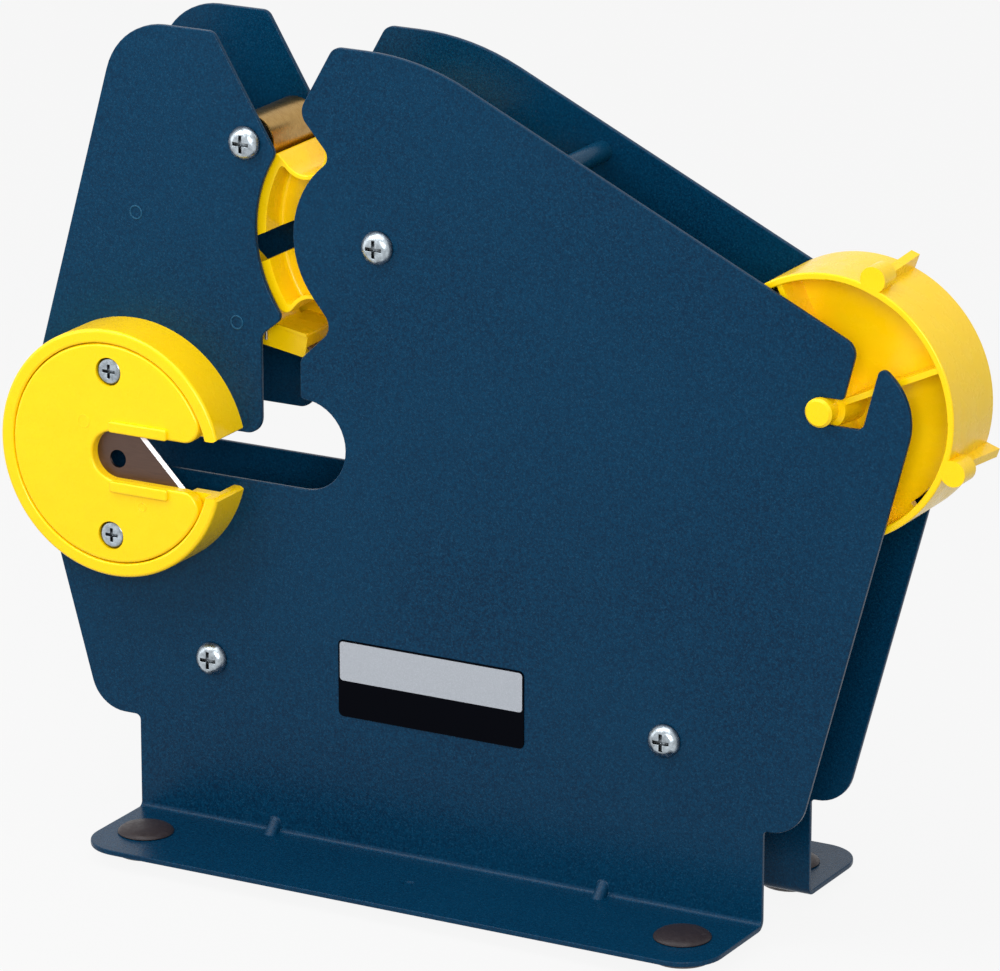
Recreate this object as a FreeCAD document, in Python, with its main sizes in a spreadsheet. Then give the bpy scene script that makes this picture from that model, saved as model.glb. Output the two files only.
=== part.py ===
import FreeCAD, Part
import math
import os
import re
import Sketcher
from types import SimpleNamespace

# Bag neck sealer: two folded side plates hold a tape drum, a star wheel that carries the bag
# neck past a pressing roller, and a guarded blade that trims the bag top.
# X runs along the base towards the tape drum, Y from the front plate to the rear plate, Z up.
# The origin is on the ground, midway between the side plates. Millimetres and degrees.

V = FreeCAD.Vector
FRONT = -1
REAR = 1

SIZES = {
    # side plates
    "sheet": 1.5,               # thickness of the plates
    "inner_gap": 27.6,          # between the plates' inner faces
    "horn_rise": 54.5,          # wheel axis to the flat top of the horns
    "skirt_height": 33.4,       # where the narrow foot web widens into the plate
    "skirt_left": -122.0,       # lower left corner of the wide plate
    "web_inset_left": 13.5,     # from the wide plate's corners to the foot web's ends
    "web_inset_right": 10.4,
    "web_round": 1.5,
    "skirt_corner": 11.0,
    "left_lean": 15.5,          # lean of the outer edges from vertical
    "right_lean": 14.9,
    "knee_height": 116.8,       # widest point of the left edge
    "knee_round": 60.0,
    "horn_right": -81.2,        # inner top corner of the left horn
    "horn_round": 19.5,
    "horn_inner_round": 3.0,
    "crest_run": 26.56,         # from the right horn to where the flat top would meet the roof
    "crest_radius": 73.0,
    "roof_slope": 25.3,
    "flange_reach": 37.4,       # inner face of the plate to the flange's outer edge
    "flange_corner": 12.0,
    "bend_radius": 1.5,
    "gusset_size": 5.2,         # pressed stiffeners in the bend
    "gusset_width": 3.6,
    "gusset_round": 1.5,
    "gusset_left": -64.0,
    "gusset_right": 41.0,
    "dimple_x": -10.4,          # locating dimple in each flange
    "dimple_radius": 1.5,
    # neck channel, concentric with the star wheel
    "wheel_x": -29.3,
    "wheel_z": 181.8,
    "channel_inner": 27.0,
    "channel_outer": 39.2,
    "entry_angle": 145.7,       # outer lip of the channel's mouth
    "exit_angle": 218.4,        # outer lip of the channel's exit
    "bay_entry_angle": 122.7,   # ends of the inner edge
    "bay_exit_angle": 219.2,
    "entry_round": 3.0,
    "exit_round": 2.2,
    "bay_round": 3.2,
    "beak_x": -54.35,           # lip of the right horn
    "beak_rise": 34.8,          # wheel axis to the lip
    "beak_slope": 60.4,
    "beak_round": 5.0,
    "beak_top_round": 4.0,
    "exit_run": 10.3,           # straight run after the inner edge
    "throat_left": -67.0,       # straight throat below the channel
    "throat_right": -54.4,
    "throat_drop_left": 30.2,   # wheel axis to the throat's upper corners
    "throat_drop_right": 35.3,
    "throat_round": 3.0,
    "bend_round": 4.5,          # where the channel turns down into the throat
    # trim slot through both plates
    "slot_left": -113.0,
    "slot_right": -40.2,
    "slot_floor": 109.0,
    "slot_roof": 122.8,
    "slot_bay_top": 135.1,
    "slot_lip_round": 1.0,
    "slot_roof_round": 5.0,
    # hooked notch that holds the drum's pins
    "drum_x": 106.0,
    "drum_z": 154.8,
    "notch_width": 7.5,
    "notch_leg_x": 6.0,         # from the pin's axis to the upright leg
    "notch_lip_round": 1.0,
    "notch_foot_round": 2.5,
    "leg_top_round": 4.5,
    "hook_reach": 26.7,         # from the pin's axis to the plate's right edge
    "hook_rise": 14.95,         # from the pin's axis to the hook's tip
    "hook_slope": 40.0,
    "hook_radius": 17.6,
    "hook_tip_round": 1.8,
    # screws through both plates
    "screw_radius": 2.5,
    "screw_hole": 2.65,
    "head_radius": 4.75,
    "head_height": 3.0,
    "nut_flats": 8.0,
    "nut_height": 5.0,
    "thread_end": 1.2,          # thread showing past the nut
    "thread_clearance": 0.05,   # radial, screw to nut
    "hole_clearance": 0.1,      # radial, small screws to the sheet
    "overlap": 2.0,             # how far a rib or a cut reaches past the face that it meets
    "recess_span": 5.0,         # cross recess
    "recess_width": 1.0,
    "recess_depth": 1.4,
    "low_screw_left": -84.0,
    "low_screw_right": 60.0,
    "low_screw_z": 54.5,
    "spacer_radius": 5.0,
    "tube_bore": 2.6,
    "guide_rod_x": 24.5,
    "guide_rod_rise": 27.4,     # above the wheel's axis
    "guide_rod_radius": 3.0,
    "rod_screw_radius": 2.0,
    "rod_screw_head": 3.9,
    "rod_screw_length": 10.0,
    # feet
    "foot_inset_left": 12.5,    # from the foot web's ends
    "foot_inset_right": 15.0,
    "foot_row": 33.2,           # from the middle plane
    "foot_height": 4.5,         # ground to the flange
    "foot_radius": 9.5,
    "foot_neck": 4.0,
    "foot_button": 8.0,
    "foot_dome": 2.2,
    # pressing roller
    "roller_run": 41.9,         # left of the wheel's axis, and above it
    "roller_rise": 24.4,
    "roller_radius": 7.3,
    "roller_wall": 0.9,
    "roller_length": 24.6,
    "roller_bush_length": 6.0,
    "roller_bush_inset": 1.5,
    "roller_tube_radius": 3.5,
    "running_clearance": 0.05,
    # star wheel
    "wheel_radius": 40.5,
    "wheel_width": 24.4,
    "wheel_wall": 3.1,          # rim
    "pocket_wall": 1.2,         # wall round each pocket
    "wheel_web": 8.4,
    "wheel_root_round": 1.2,    # where the walls meet the web
    "wheel_edge_round": 0.4,
    "wheel_hub": 10.0,
    "wheel_tube_radius": 5.0,
    "wheel_pockets": 4,
    "pocket_angle": 137.6,      # direction of the first neck pocket
    "pocket_half": 6.6,
    "pocket_inset": 6.3,        # rim to the centre of the pocket's round end
    "pocket_lip": 2.5,          # rounding of the tooth that leads into a pocket
    "tooth_tip": 1.0,           # rounding of the tooth behind the pocket
    "gap_half": 3.65,           # tape gap between two pockets
    "gap_inset": 15.65,         # rim to the centre of the gap's round root
    "gap_turn": 40.7,           # from a pocket to the gap's root
    "gap_lean": 26.9,           # lean of the gap from radial
    # tape drum
    "drum_ring": 37.0,
    "drum_wall": 2.0,
    "drum_width": 25.2,
    "drum_web": 2.4,
    "drum_hub": 6.5,
    "drum_pin": 3.65,
    "drum_pin_head": 4.0,
    "drum_pin_reach": 18.2,     # middle plane to the pin's end
    "drum_edge_round": 0.5,
    "drum_turn": 19.0,          # how far the drum is turned at rest
    "drum_ribs": 4,
    "rib_turn": 43.9,           # from a lug to the next rib
    "rib_width": 1.6,
    "rib_inset": 0.6,
    "lug_radius": 3.6,
    "lug_centre": 39.1,
    "lug_length": 7.0,
    "fin_half": 1.3,
    "fin_start": 38.8,
    "fin_end": 40.9,
    "relief_root": 32.9,        # web openings beside the ring, measured from a lug
    "relief_undercut": 0.3,
    "relief_start": -34.0,
    "relief_end": -16.0,
    # trim guard and blade
    "trim_x": -107.9,
    "trim_z": 115.2,
    "guard_radius": 36.0,
    "guard_depth": 14.7,
    "guard_wall": 4.0,
    "guard_edge_round": 1.0,
    "guard_lip_round": 0.7,
    "guard_floor": 3.0,
    "guard_jaw": 8.2,           # half the opening in the rim
    "guard_flare": 34.2,        # where the jaws flare out
    "guard_slot": 10.0,         # half the slot in the floor
    "guard_step": 24.0,         # where the floor's slot narrows to the jaws
    "guard_slot_end": -6.0,
    "cover_thickness": 3.2,
    "cover_gap": 0.3,
    "cover_edge_round": 0.8,
    "cover_slot": 7.1,
    "cover_slot_z": -0.5,
    "cover_slot_end": -5.9,
    "cover_corner": 5.0,
    "cover_bar_length": 19.0,
    "cover_bar_width": 3.3,
    "cover_bar_height": 1.1,
    "cover_bar_round": 0.6,
    "cover_bar_start": 0.2,
    "blade_thickness": 0.8,
    "blade_half": 9.5,
    "blade_left": -19.0,
    "blade_edge_x": 14.8,       # where the cutting edge crosses the guard's middle
    "blade_edge_slope": 45.4,
    "blade_bevel": 1.1,
    "blade_hole": 2.6,
    "blade_hole_x": 0.8,
    "blade_hole_z": -2.1,
    "guard_screw_offset": 23.9,
    "guard_screw_radius": 2.0,
    "guard_screw_head": 3.9,
    "guard_screw_seat": 2.2,    # depth of the head's counterbore
    "guard_boss": 5.5,
    "guard_nut_flats": 7.0,
    "guard_nut_height": 3.2,
    # tape knife on its lever
    "lever_run": 45.3,          # left of the wheel's axis, and below it
    "lever_drop": 27.4,
    "stop_run": 32.4,           # from the lever's pivot to the stop pin
    "stop_rise": 27.4,
    "pin_radius": 1.8,
    "lever_half": 6.0,
    "lever_cap_half": 6.9,
    "lever_cap": 0.9,
    "lever_neck": 7.5,          # from the pivot to where the nose leaves the tail
    "lever_boss": 3.2,
    "lever_boss_half": 12.6,
    "lever_root": 4.8,
    "lever_hump": 2.0,          # the tail's upper edge starts this far before the pivot
    "lever_hump_round": 3.0,
    "lever_neck_round": 2.5,
    "lever_crotch": 6.0,        # the tail's lower edge starts this far past the pivot
    "lever_crotch_round": 4.0,
    "lever_heel": 2.0,          # corners behind the root, above and below
    "lever_heel_rise": 1.0,
    "lever_heel_foot": 0.5,
    "lever_heel_round": 3.0,
    "spring_wire": 0.45,        # radius of the lever spring's wire
    "spring_coil": 4.2,
    "spring_pitch": 1.1,
    "spring_turns": 4.25,
    "spring_leg": 6.5,
    "nose_length": 17.4,
    "nose_drop": 3.2,
    "nose_depth": 7.2,
    "nose_slope": 9.5,
    "nose_rake": 1.2,           # how far the nose's end leans back at its foot
    "stop_gap": 0.3,
    "nose_round": 1.0,
    "tail_width": 6.0,
    "tail_round": 2.4,
    "tail_reach": 4.6,          # how far the tail passes the stop pin
    "knife_thickness": 0.8,
    "knife_half": 5.2,
    "knife_lift": 2.2,
    "knife_start": 1.5,
    "knife_reach": 1.4,
    "knife_teeth": 8,
    "knife_tooth": 1.2,
}


def make_sizes(doc):
    """The driving dimensions, one aliased cell each."""
    sheet = doc.addObject("Spreadsheet::Sheet", "Sizes")
    for row, (name, value) in enumerate(SIZES.items(), start=1):
        sheet.set(f"A{row}", name)
        sheet.set(f"B{row}", str(value))
        sheet.setAlias(f"B{row}", name)
    doc.recompute()
    values = {name: float(sheet.get(name)) for name in SIZES}
    return SimpleNamespace(**values)


def bound(text):
    """The same formula, with each size read from the sheet. Words of three letters, such as
    tan and deg, are the sheet's own.
    """
    return re.sub(r"[a-z_]{4,}", lambda word: "Sizes." + word.group(), text)


# Places that follow from the sizes, as formulas for sketches and features and for the numbers.
SKIRT_RIGHT = "(drum_x + hook_reach - (drum_z - skirt_height) * tan(right_lean * 1 deg))"
WEB_LEFT = "(skirt_left + web_inset_left)"
WEB_RIGHT = f"({SKIRT_RIGHT} - web_inset_right)"
ROLLER_X = "(wheel_x - roller_run)"
ROLLER_Z = "(wheel_z + roller_rise)"
LEVER_X = "(wheel_x - lever_run)"
LEVER_Z = "(wheel_z - lever_drop)"
STOP_X = f"({LEVER_X} - stop_run)"
STOP_Z = f"({LEVER_Z} + stop_rise)"
GUIDE_ROD_Z = "(wheel_z + guide_rod_rise)"
FOOT_LEFT = f"({WEB_LEFT} + foot_inset_left)"
FOOT_RIGHT = f"({WEB_RIGHT} - foot_inset_right)"


def worked_out(doc, text):
    """The number that a formula of the sheet's sizes gives."""
    value = doc.Sizes.evalExpression(text)
    return float(getattr(value, "Value", value))


# --- plane geometry -------------------------------------------------------------------------

def polar(centre, radius, angle):
    turn = math.radians(angle)
    return (centre[0] + radius * math.cos(turn), centre[1] + radius * math.sin(turn))


def meet(first, first_angle, second, second_angle):
    """Where two lines cross, each given by a point and a direction."""
    a, b = math.radians(first_angle), math.radians(second_angle)
    cross = math.cos(a) * math.sin(b) - math.sin(a) * math.cos(b)
    dx, dz = second[0] - first[0], second[1] - first[1]
    run = (dx * math.sin(b) - dz * math.cos(b)) / cross
    return (first[0] + run * math.cos(a), first[1] + run * math.sin(a))


def meet_circle(start, angle, centre, radius):
    """Where a ray from inside a circle leaves it."""
    ray = V(math.cos(math.radians(angle)), math.sin(math.radians(angle)), 0)
    offset = V(start[0] - centre[0], start[1] - centre[1], 0)
    along = offset.dot(ray)
    run = -along + math.sqrt(along ** 2 - offset.dot(offset) + radius ** 2)
    return (start[0] + run * ray.x, start[1] + run * ray.y)


class Side:
    """One side of an outline: a line, or the short arc about a centre."""

    def __init__(self, start, end, centre):
        self.start, self.end, self.centre = V(*start, 0), V(*end, 0), centre and V(*centre, 0)
        if centre:
            self.radius = (self.start - self.centre).Length

    def beside(self, distance):
        """The curves that run at this distance from the side."""
        if self.centre:
            radii = [self.radius + distance, self.radius - distance]
            return [Part.Circle(self.centre, V(0, 0, 1), r) for r in radii if r > 1e-6]
        across = V(0, 0, 1).cross(self.end - self.start).normalize() * distance
        return [Part.Line(self.start + step, self.end + step) for step in (across, -across)]

    def foot(self, point):
        """The nearest point of the side's full line or circle."""
        if self.centre:
            return self.centre + (point - self.centre).normalize() * self.radius
        along = (self.end - self.start).normalize()
        return self.start + along * (point - self.start).dot(along)

    def holds(self, point):
        if self.centre:
            middle = ((self.start - self.centre) + (self.end - self.centre)).normalize()
            reach = (self.start - self.centre).getAngle(middle)
            return (point - self.centre).getAngle(middle) <= reach + 1e-6
        length = (self.end - self.start).Length
        return max((point - self.start).Length, (point - self.end).Length) <= length + 1e-6


def short_arc(start, end, centre):
    radius = (start - centre).Length
    middle = centre + ((start - centre) + (end - centre)).normalize() * radius
    return Part.Arc(start, middle, end)


def rounding(before, after, radius):
    """Centre and end points of the arc that rounds the corner between two sides."""
    corner = before.end
    best = None
    for one in before.beside(radius):
        for other in after.beside(radius):
            for hit in one.intersect(other):
                centre = V(hit.X, hit.Y, 0)
                ends = before.foot(centre), after.foot(centre)
                if not (before.holds(ends[0]) and after.holds(ends[1])):
                    continue
                if best is None or (centre - corner).Length < (best[0] - corner).Length:
                    best = (centre, *ends)
    if best is None:
        raise ValueError(f"no room for a {radius:.2f} mm rounding at {corner}")
    return best


def outline(corners):
    """A closed outline with rounded corners.

    A corner is (x, y), (x, y, rounding) or (x, y, rounding, centre): the centre makes the side
    that leaves the corner an arc.
    """
    full = [tuple(corner) + (0, None)[len(corner) - 2:] for corner in corners]
    count = len(full)
    sides = [Side(full[i][:2], full[(i + 1) % count][:2], full[i][3]) for i in range(count)]
    curves = []
    arcs = {}
    for i, corner in enumerate(full):
        if corner[2]:
            arcs[i] = rounding(sides[i - 1], sides[i], corner[2])
    for i, side in enumerate(sides):
        after = (i + 1) % count
        start = arcs[i][2] if i in arcs else side.start
        end = arcs[after][1] if after in arcs else side.end
        if i in arcs and (arcs[i][2] - arcs[i][1]).Length > 1e-6:
            curves.append(short_arc(arcs[i][1], arcs[i][2], arcs[i][0]))
        if (end - start).Length < 1e-5:
            continue
        if not side.centre and (end - start).dot(side.end - side.start) < 0:
            raise ValueError(f"two roundings overlap between {side.start} and {side.end}")
        curves.append(short_arc(start, end, side.centre) if side.centre
                      else Part.LineSegment(start, end))
    return curves


# --- PartDesign helpers ---------------------------------------------------------------------

def new_body(doc, label, x="0", y="0", z="0"):
    body = doc.addObject("PartDesign::Body", label)
    body.Label = label
    for axis, text in (("x", x), ("y", y), ("z", z)):
        if text != "0":
            body.setExpression(f"Placement.Base.{axis}", bound(text))
    return body


def origin_part(body, role):
    return [item for item in body.Origin.OriginFeatures if item.Role == role][0]


def new_sketch(body, name, role="XZ_Plane", offset="0"):
    """A sketch on one of the body's own planes. On XZ_Plane a positive offset is to the front."""
    sketch = body.newObject("Sketcher::SketchObject", name)
    sketch.AttachmentSupport = [(origin_part(body, role), "")]
    sketch.MapMode = "FlatFace"
    if offset != "0":
        sketch.setExpression("AttachmentOffset.Base.z", bound(offset))
    return sketch


def draw_outline(sketch, corners):
    for curve in outline(corners):
        sketch.addGeometry(curve, False)


def draw_polygon(doc, sketch, points):
    """A closed polygon whose corners are formulas of the sheet's sizes."""
    places = [V(*(worked_out(doc, text) for text in point), 0) for point in points]
    first = sketch.GeometryCount
    count = len(points)
    for i in range(count):
        sketch.addGeometry(Part.LineSegment(places[i], places[(i + 1) % count]), False)
    for i in range(count):
        joined = Sketcher.Constraint("Coincident", first + i, 2, first + (i + 1) % count, 1)
        sketch.addConstraint(joined)
    for i, point in enumerate(points):
        for kind, text, value in (("DistanceX", point[0], places[i].x),
                                  ("DistanceY", point[1], places[i].y)):
            made = sketch.addConstraint(Sketcher.Constraint(kind, -1, 1, first + i, 1, value))
            sketch.setExpression(f"Constraints[{made}]", bound(text))


def draw_circle(doc, sketch, x, y, radius):
    """A circle whose centre and radius are formulas of the sheet's sizes."""
    values = [worked_out(doc, text) for text in (x, y, radius)]
    circle = sketch.addGeometry(Part.Circle(V(values[0], values[1], 0), V(0, 0, 1), values[2]), False)
    for kind, text, value in (("DistanceX", x, values[0]), ("DistanceY", y, values[1])):
        made = sketch.addConstraint(Sketcher.Constraint(kind, -1, 1, circle, 3, value))
        sketch.setExpression(f"Constraints[{made}]", bound(text))
    made = sketch.addConstraint(Sketcher.Constraint("Radius", circle, values[2]))
    sketch.setExpression(f"Constraints[{made}]", bound(radius))


def pad(body, sketch, length, backwards=False):
    feature = body.newObject("PartDesign::Pad", sketch.Name + "_pad")
    feature.Profile = sketch
    feature.Reversed = backwards
    feature.setExpression("Length", bound(length))
    return feature


def pocket(body, sketch, depth, backwards=False):
    feature = body.newObject("PartDesign::Pocket", sketch.Name + "_cut")
    feature.Profile = sketch
    feature.Reversed = backwards
    feature.setExpression("Length", bound(depth))
    return feature


def turn_profile(doc, body, name, points, upright=False):
    """A profile of (radius, distance) corners turned about Y, or about Z when upright."""
    sketch = new_sketch(body, name, "XZ_Plane" if upright else "XY_Plane")
    draw_polygon(doc, sketch, points)
    feature = body.newObject("PartDesign::Revolution", name + "_turned")
    feature.Profile = sketch
    feature.ReferenceAxis = (sketch, ["V_Axis"])
    feature.Angle = 360
    return feature


def polar_pattern(body, features, count):
    """Copies about the body's own Y axis."""
    pattern = body.newObject("PartDesign::PolarPattern", features[0].Name + "_round")
    pattern.Originals = features
    pattern.Axis = (origin_part(body, "Y_Axis"), [""])
    pattern.Angle = 360
    pattern.setExpression("Occurrences", bound(count))
    body.Tip = pattern
    return pattern


def turned(doc, label, points, x="0", y="0", z="0", upright=False):
    """A piece that is one turned profile."""
    body = new_body(doc, label, x, y, z)
    turn_profile(doc, body, label + "_profile", points, upright)
    return body


def round_edges(body, base, places, radius):
    """Round the edges whose middles are nearest to the given places."""
    body.Document.recompute()
    names = []
    for place in places:
        gaps = [(edge.CenterOfMass - V(*place)).Length for edge in base.Shape.Edges]
        names.append(f"Edge{gaps.index(min(gaps)) + 1}")
    feature = body.newObject("PartDesign::Fillet", base.Name + "_rounded")
    feature.Base = (base, names)
    feature.setExpression("Radius", bound(radius))
    return feature


def round_level_edges(body, base, levels, radius, chosen=lambda edge: True):
    """Round the chosen ones of the edges that lie flat at these values of the body's own Y."""
    body.Document.recompute()
    names = []
    for i, edge in enumerate(base.Shape.Edges, start=1):
        box = edge.BoundBox
        flat = [y for y in levels if max(abs(box.YMin - y), abs(box.YMax - y)) < 1e-4]
        if flat and chosen(edge):
            names.append(f"Edge{i}")
    feature = body.newObject("PartDesign::Fillet", base.Name + "_rounded")
    feature.Base = (base, names)
    feature.setExpression("Radius", bound(radius))
    return feature


def wider(edge, radius):
    """Whether an edge is an arc or circle of more than this radius."""
    return hasattr(edge.Curve, "Radius") and edge.Curve.Radius > radius


def copies(doc, label, source, places):
    """One node of separate equal solids, each the source body's shape moved to a place."""
    doc.recompute()
    group = doc.addObject("Part::Feature", label)
    group.Label = label
    solids = [source.Shape.translated(V(*place)) for place in places]
    group.Shape = Part.Compound(solids)
    return group


# --- side plates ----------------------------------------------------------------------------

def plate_corners(doc, s):
    """The plate's outline in X and Z, anticlockwise from the foot web's lower left corner."""
    web_left, web_right, skirt_right = (
        worked_out(doc, text) for text in (WEB_LEFT, WEB_RIGHT, SKIRT_RIGHT))
    lean = math.tan(math.radians(s.left_lean))
    top = s.wheel_z + s.horn_rise
    wheel = (s.wheel_x, s.wheel_z)
    web_bottom = s.foot_height + s.sheet + s.bend_radius
    knee = (s.skirt_left - (s.knee_height - s.skirt_height) * lean, s.knee_height)
    horn_left = knee[0] + (top - s.knee_height) * lean
    bay_exit = polar(wheel, s.channel_inner, s.bay_exit_angle)
    bay_foot = polar(bay_exit, s.exit_run, s.bay_exit_angle + 90)
    beak = (s.beak_x, s.wheel_z + s.beak_rise)
    beak_top = meet(beak, s.beak_slope, (0, top), 0)
    crest = (beak_top[0] + s.crest_run, top)
    half = s.notch_width / 2
    leg_lean = math.tan(math.radians(s.right_lean))
    leg_left = (s.drum_x + s.notch_leg_x, s.drum_z + half)
    leg_top = meet(leg_left, 90 - s.right_lean, crest, -s.roof_slope)
    leg_shift = s.notch_width / math.cos(math.radians(s.right_lean)) - s.notch_width * leg_lean
    leg_foot = (leg_left[0] + leg_shift, s.drum_z - half)
    hook_top = s.drum_z + s.hook_rise
    hook_tip = (leg_foot[0] + (hook_top - leg_foot[1]) * leg_lean, hook_top)
    hook = meet(hook_tip, -s.hook_slope, (skirt_right, s.skirt_height), 90 - s.right_lean)
    slot_end = (s.slot_roof - s.slot_floor) / 2
    slot_bay = (s.slot_bay_top - s.slot_floor) / 2
    return [
        (web_left, web_bottom),
        (web_right, web_bottom),
        (web_right, s.skirt_height, s.web_round),
        (skirt_right, s.skirt_height, s.skirt_corner),
        (*hook, s.hook_radius),
        (*hook_tip, s.hook_tip_round),
        (*leg_foot, s.notch_foot_round),
        (s.drum_x - half, s.drum_z - half, half),
        (s.drum_x - half, s.drum_z + half, half),
        (*leg_left, s.notch_lip_round),
        (*leg_top, s.leg_top_round),
        (*crest, s.crest_radius),
        (*beak_top, s.beak_top_round),
        (*beak, s.beak_round),
        (*polar(wheel, s.channel_inner, s.bay_entry_angle), s.bay_round, wheel),
        (*bay_exit, 0),
        (*bay_foot, s.bend_round),
        (s.throat_right, s.wheel_z - s.throat_drop_right, s.throat_round),
        (s.throat_right, s.slot_bay_top, s.slot_lip_round),
        (s.slot_right, s.slot_bay_top, slot_bay),
        (s.slot_right, s.slot_floor, slot_bay),
        (s.slot_left, s.slot_floor, slot_end),
        (s.slot_left, s.slot_roof, slot_end),
        (s.throat_left, s.slot_roof, s.slot_roof_round),
        (s.throat_left, s.wheel_z - s.throat_drop_left, s.throat_round),
        (*polar(wheel, s.channel_outer, s.exit_angle), s.exit_round, wheel),
        (*polar(wheel, s.channel_outer, s.entry_angle), s.entry_round),
        (s.horn_right, top, s.horn_inner_round),
        (horn_left, top, s.horn_round),
        (*knee, s.knee_round),
        (s.skirt_left, s.skirt_height, s.skirt_corner),
        (web_left, s.skirt_height, s.web_round),
    ]


def flange_corners(s, side):
    """The bend and flange in section: Y outwards, Z up."""
    inner = side * s.inner_gap / 2
    outer = inner + side * s.sheet
    edge = inner + side * s.flange_reach
    top = s.foot_height + s.sheet
    return [
        (inner, top + s.bend_radius),
        (inner, s.foot_height, s.bend_radius + s.sheet),
        (edge, s.foot_height),
        (edge, top),
        (outer, top, s.bend_radius),
        (outer, top + s.bend_radius),
    ]


def side_plate(doc, s, label, side):
    """A folded plate with its foot flange turned outwards."""
    body = new_body(doc, label)
    towards_rear = side == REAR
    inner = "inner_gap / 2" if side == FRONT else "-inner_gap / 2"
    outer = "inner_gap / 2 + sheet" if side == FRONT else "-inner_gap / 2 - sheet"

    face = new_sketch(body, label + "_face", "XZ_Plane", inner)
    draw_outline(face, plate_corners(doc, s))
    pad(body, face, "sheet", towards_rear)

    fold = new_sketch(body, label + "_fold", "YZ_Plane", WEB_LEFT)
    draw_outline(fold, flange_corners(s, side))
    flange = pad(body, fold, f"{WEB_RIGHT} - {WEB_LEFT}")
    edge = side * (s.inner_gap / 2 + s.flange_reach)
    middle = s.foot_height + s.sheet / 2
    corner_places = [(worked_out(doc, end), edge, middle) for end in (WEB_LEFT, WEB_RIGHT)]
    round_edges(body, flange, corner_places, "flange_corner")

    sign = "-" if side == FRONT else ""
    ridge_y = side * (s.inner_gap / 2 + s.sheet + s.gusset_size / 2)
    ridge_z = s.foot_height + s.sheet + s.gusset_size / 2
    for name in ("gusset_left", "gusset_right"):
        rib = new_sketch(body, f"{label}_{name}", "YZ_Plane", f"{name} - gusset_width / 2")
        wall = f"{sign}(inner_gap / 2 + sheet / 2)"
        top = "foot_height + sheet / 2"
        draw_polygon(doc, rib, [
            (wall, top),
            (f"{sign}(inner_gap / 2 + sheet + gusset_size)", top),
            (wall, "foot_height + sheet + gusset_size"),
        ])
        gusset = pad(body, rib, "gusset_width")
        ridges = [(getattr(s, name) + way * s.gusset_width / 2, ridge_y, ridge_z)
                  for way in (-1, 1)]
        round_edges(body, gusset, ridges, "gusset_round")

    holes = new_sketch(body, label + "_holes", "XZ_Plane", outer)
    for x, z in (("wheel_x", "wheel_z"), (ROLLER_X, ROLLER_Z),
                 ("low_screw_left", "low_screw_z"), ("low_screw_right", "low_screw_z")):
        draw_circle(doc, holes, x, z, "screw_hole")
    for x, z in ((LEVER_X, LEVER_Z), (STOP_X, STOP_Z)):
        draw_circle(doc, holes, x, z, "pin_radius")
    if side == FRONT:
        for z in ("trim_z - guard_screw_offset", "trim_z + guard_screw_offset"):
            draw_circle(doc, holes, "trim_x", z, "guard_screw_radius + hole_clearance")
    else:
        draw_circle(doc, holes, "guide_rod_x", GUIDE_ROD_Z, "rod_screw_radius + hole_clearance")
    pocket(body, holes, "sheet", towards_rear)

    feet = new_sketch(body, label + "_foot_holes", "XY_Plane", "foot_height + sheet")
    for x in (FOOT_LEFT, FOOT_RIGHT):
        draw_circle(doc, feet, x, f"{sign}foot_row", "foot_neck")
    pocket(body, feet, "sheet")
    dimple = new_sketch(body, label + "_dimple", "XY_Plane", "foot_height + sheet")
    draw_circle(doc, dimple, "dimple_x", f"{sign}foot_row", "dimple_radius")
    pocket(body, dimple, "sheet / 3")
    return body


def rubber_foot(doc, label, x, y):
    """A push-in rubber foot: pad below the flange, neck through it, domed button on top."""
    flange_top = "foot_height + sheet"
    return turned(doc, label, [
        ("0", "0"),
        ("foot_radius - 1.2", "0"),
        ("foot_radius", "1.2"),
        ("foot_radius", "foot_height - 0.4"),
        ("foot_radius - 0.4", "foot_height"),
        ("foot_neck", "foot_height"),
        ("foot_neck", flange_top),
        ("foot_button", flange_top),
        ("foot_button", f"{flange_top} + foot_dome * 0.25"),
        ("foot_button * 0.86", f"{flange_top} + foot_dome * 0.62"),
        ("foot_button * 0.6", f"{flange_top} + foot_dome * 0.88"),
        ("foot_button * 0.25", f"{flange_top} + foot_dome"),
        ("0", f"{flange_top} + foot_dome"),
    ], x, y, upright=True)


# --- screws, nuts, tubes and pins -----------------------------------------------------------

def cut_cross(doc, body, name, offset, span, width, depth):
    """A cross recess cut backwards into a head that faces the front."""
    cross = new_sketch(body, name, "XZ_Plane", offset)
    reach, arm = f"{span} / 2", f"{width} / 2"
    draw_polygon(doc, cross, [
        (reach, f"-{arm}"), (reach, arm), (arm, arm), (arm, reach),
        (f"-{arm}", reach), (f"-{arm}", arm), (f"-{reach}", arm), (f"-{reach}", f"-{arm}"),
        (f"-{arm}", f"-{arm}"), (f"-{arm}", f"-{reach}"), (arm, f"-{reach}"), (arm, f"-{arm}"),
    ])
    return pocket(body, cross, depth)


def plate_screw(doc):
    """A long pan head screw, its head seated on the front plate at y = 0 of its own frame."""
    body = new_body(doc, "plate_screw_form")
    length = "inner_gap + 2 * sheet + nut_height + thread_end"
    turn_profile(doc, body, "plate_screw_profile", [
        ("0", "-head_height"),
        ("head_radius * 0.45", "-head_height"),
        ("head_radius * 0.74", "-head_height * 0.86"),
        ("head_radius * 0.93", "-head_height * 0.58"),
        ("head_radius", "-head_height * 0.2"),
        ("head_radius", "0"),
        ("screw_radius", "0"),
        ("screw_radius", f"{length} - 0.6"),
        ("screw_radius - 0.6", length),
        ("0", length),
    ])
    cut_cross(doc, body, "plate_screw_cross", "head_height", "recess_span",
              "recess_width", "recess_depth")
    return body


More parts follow.
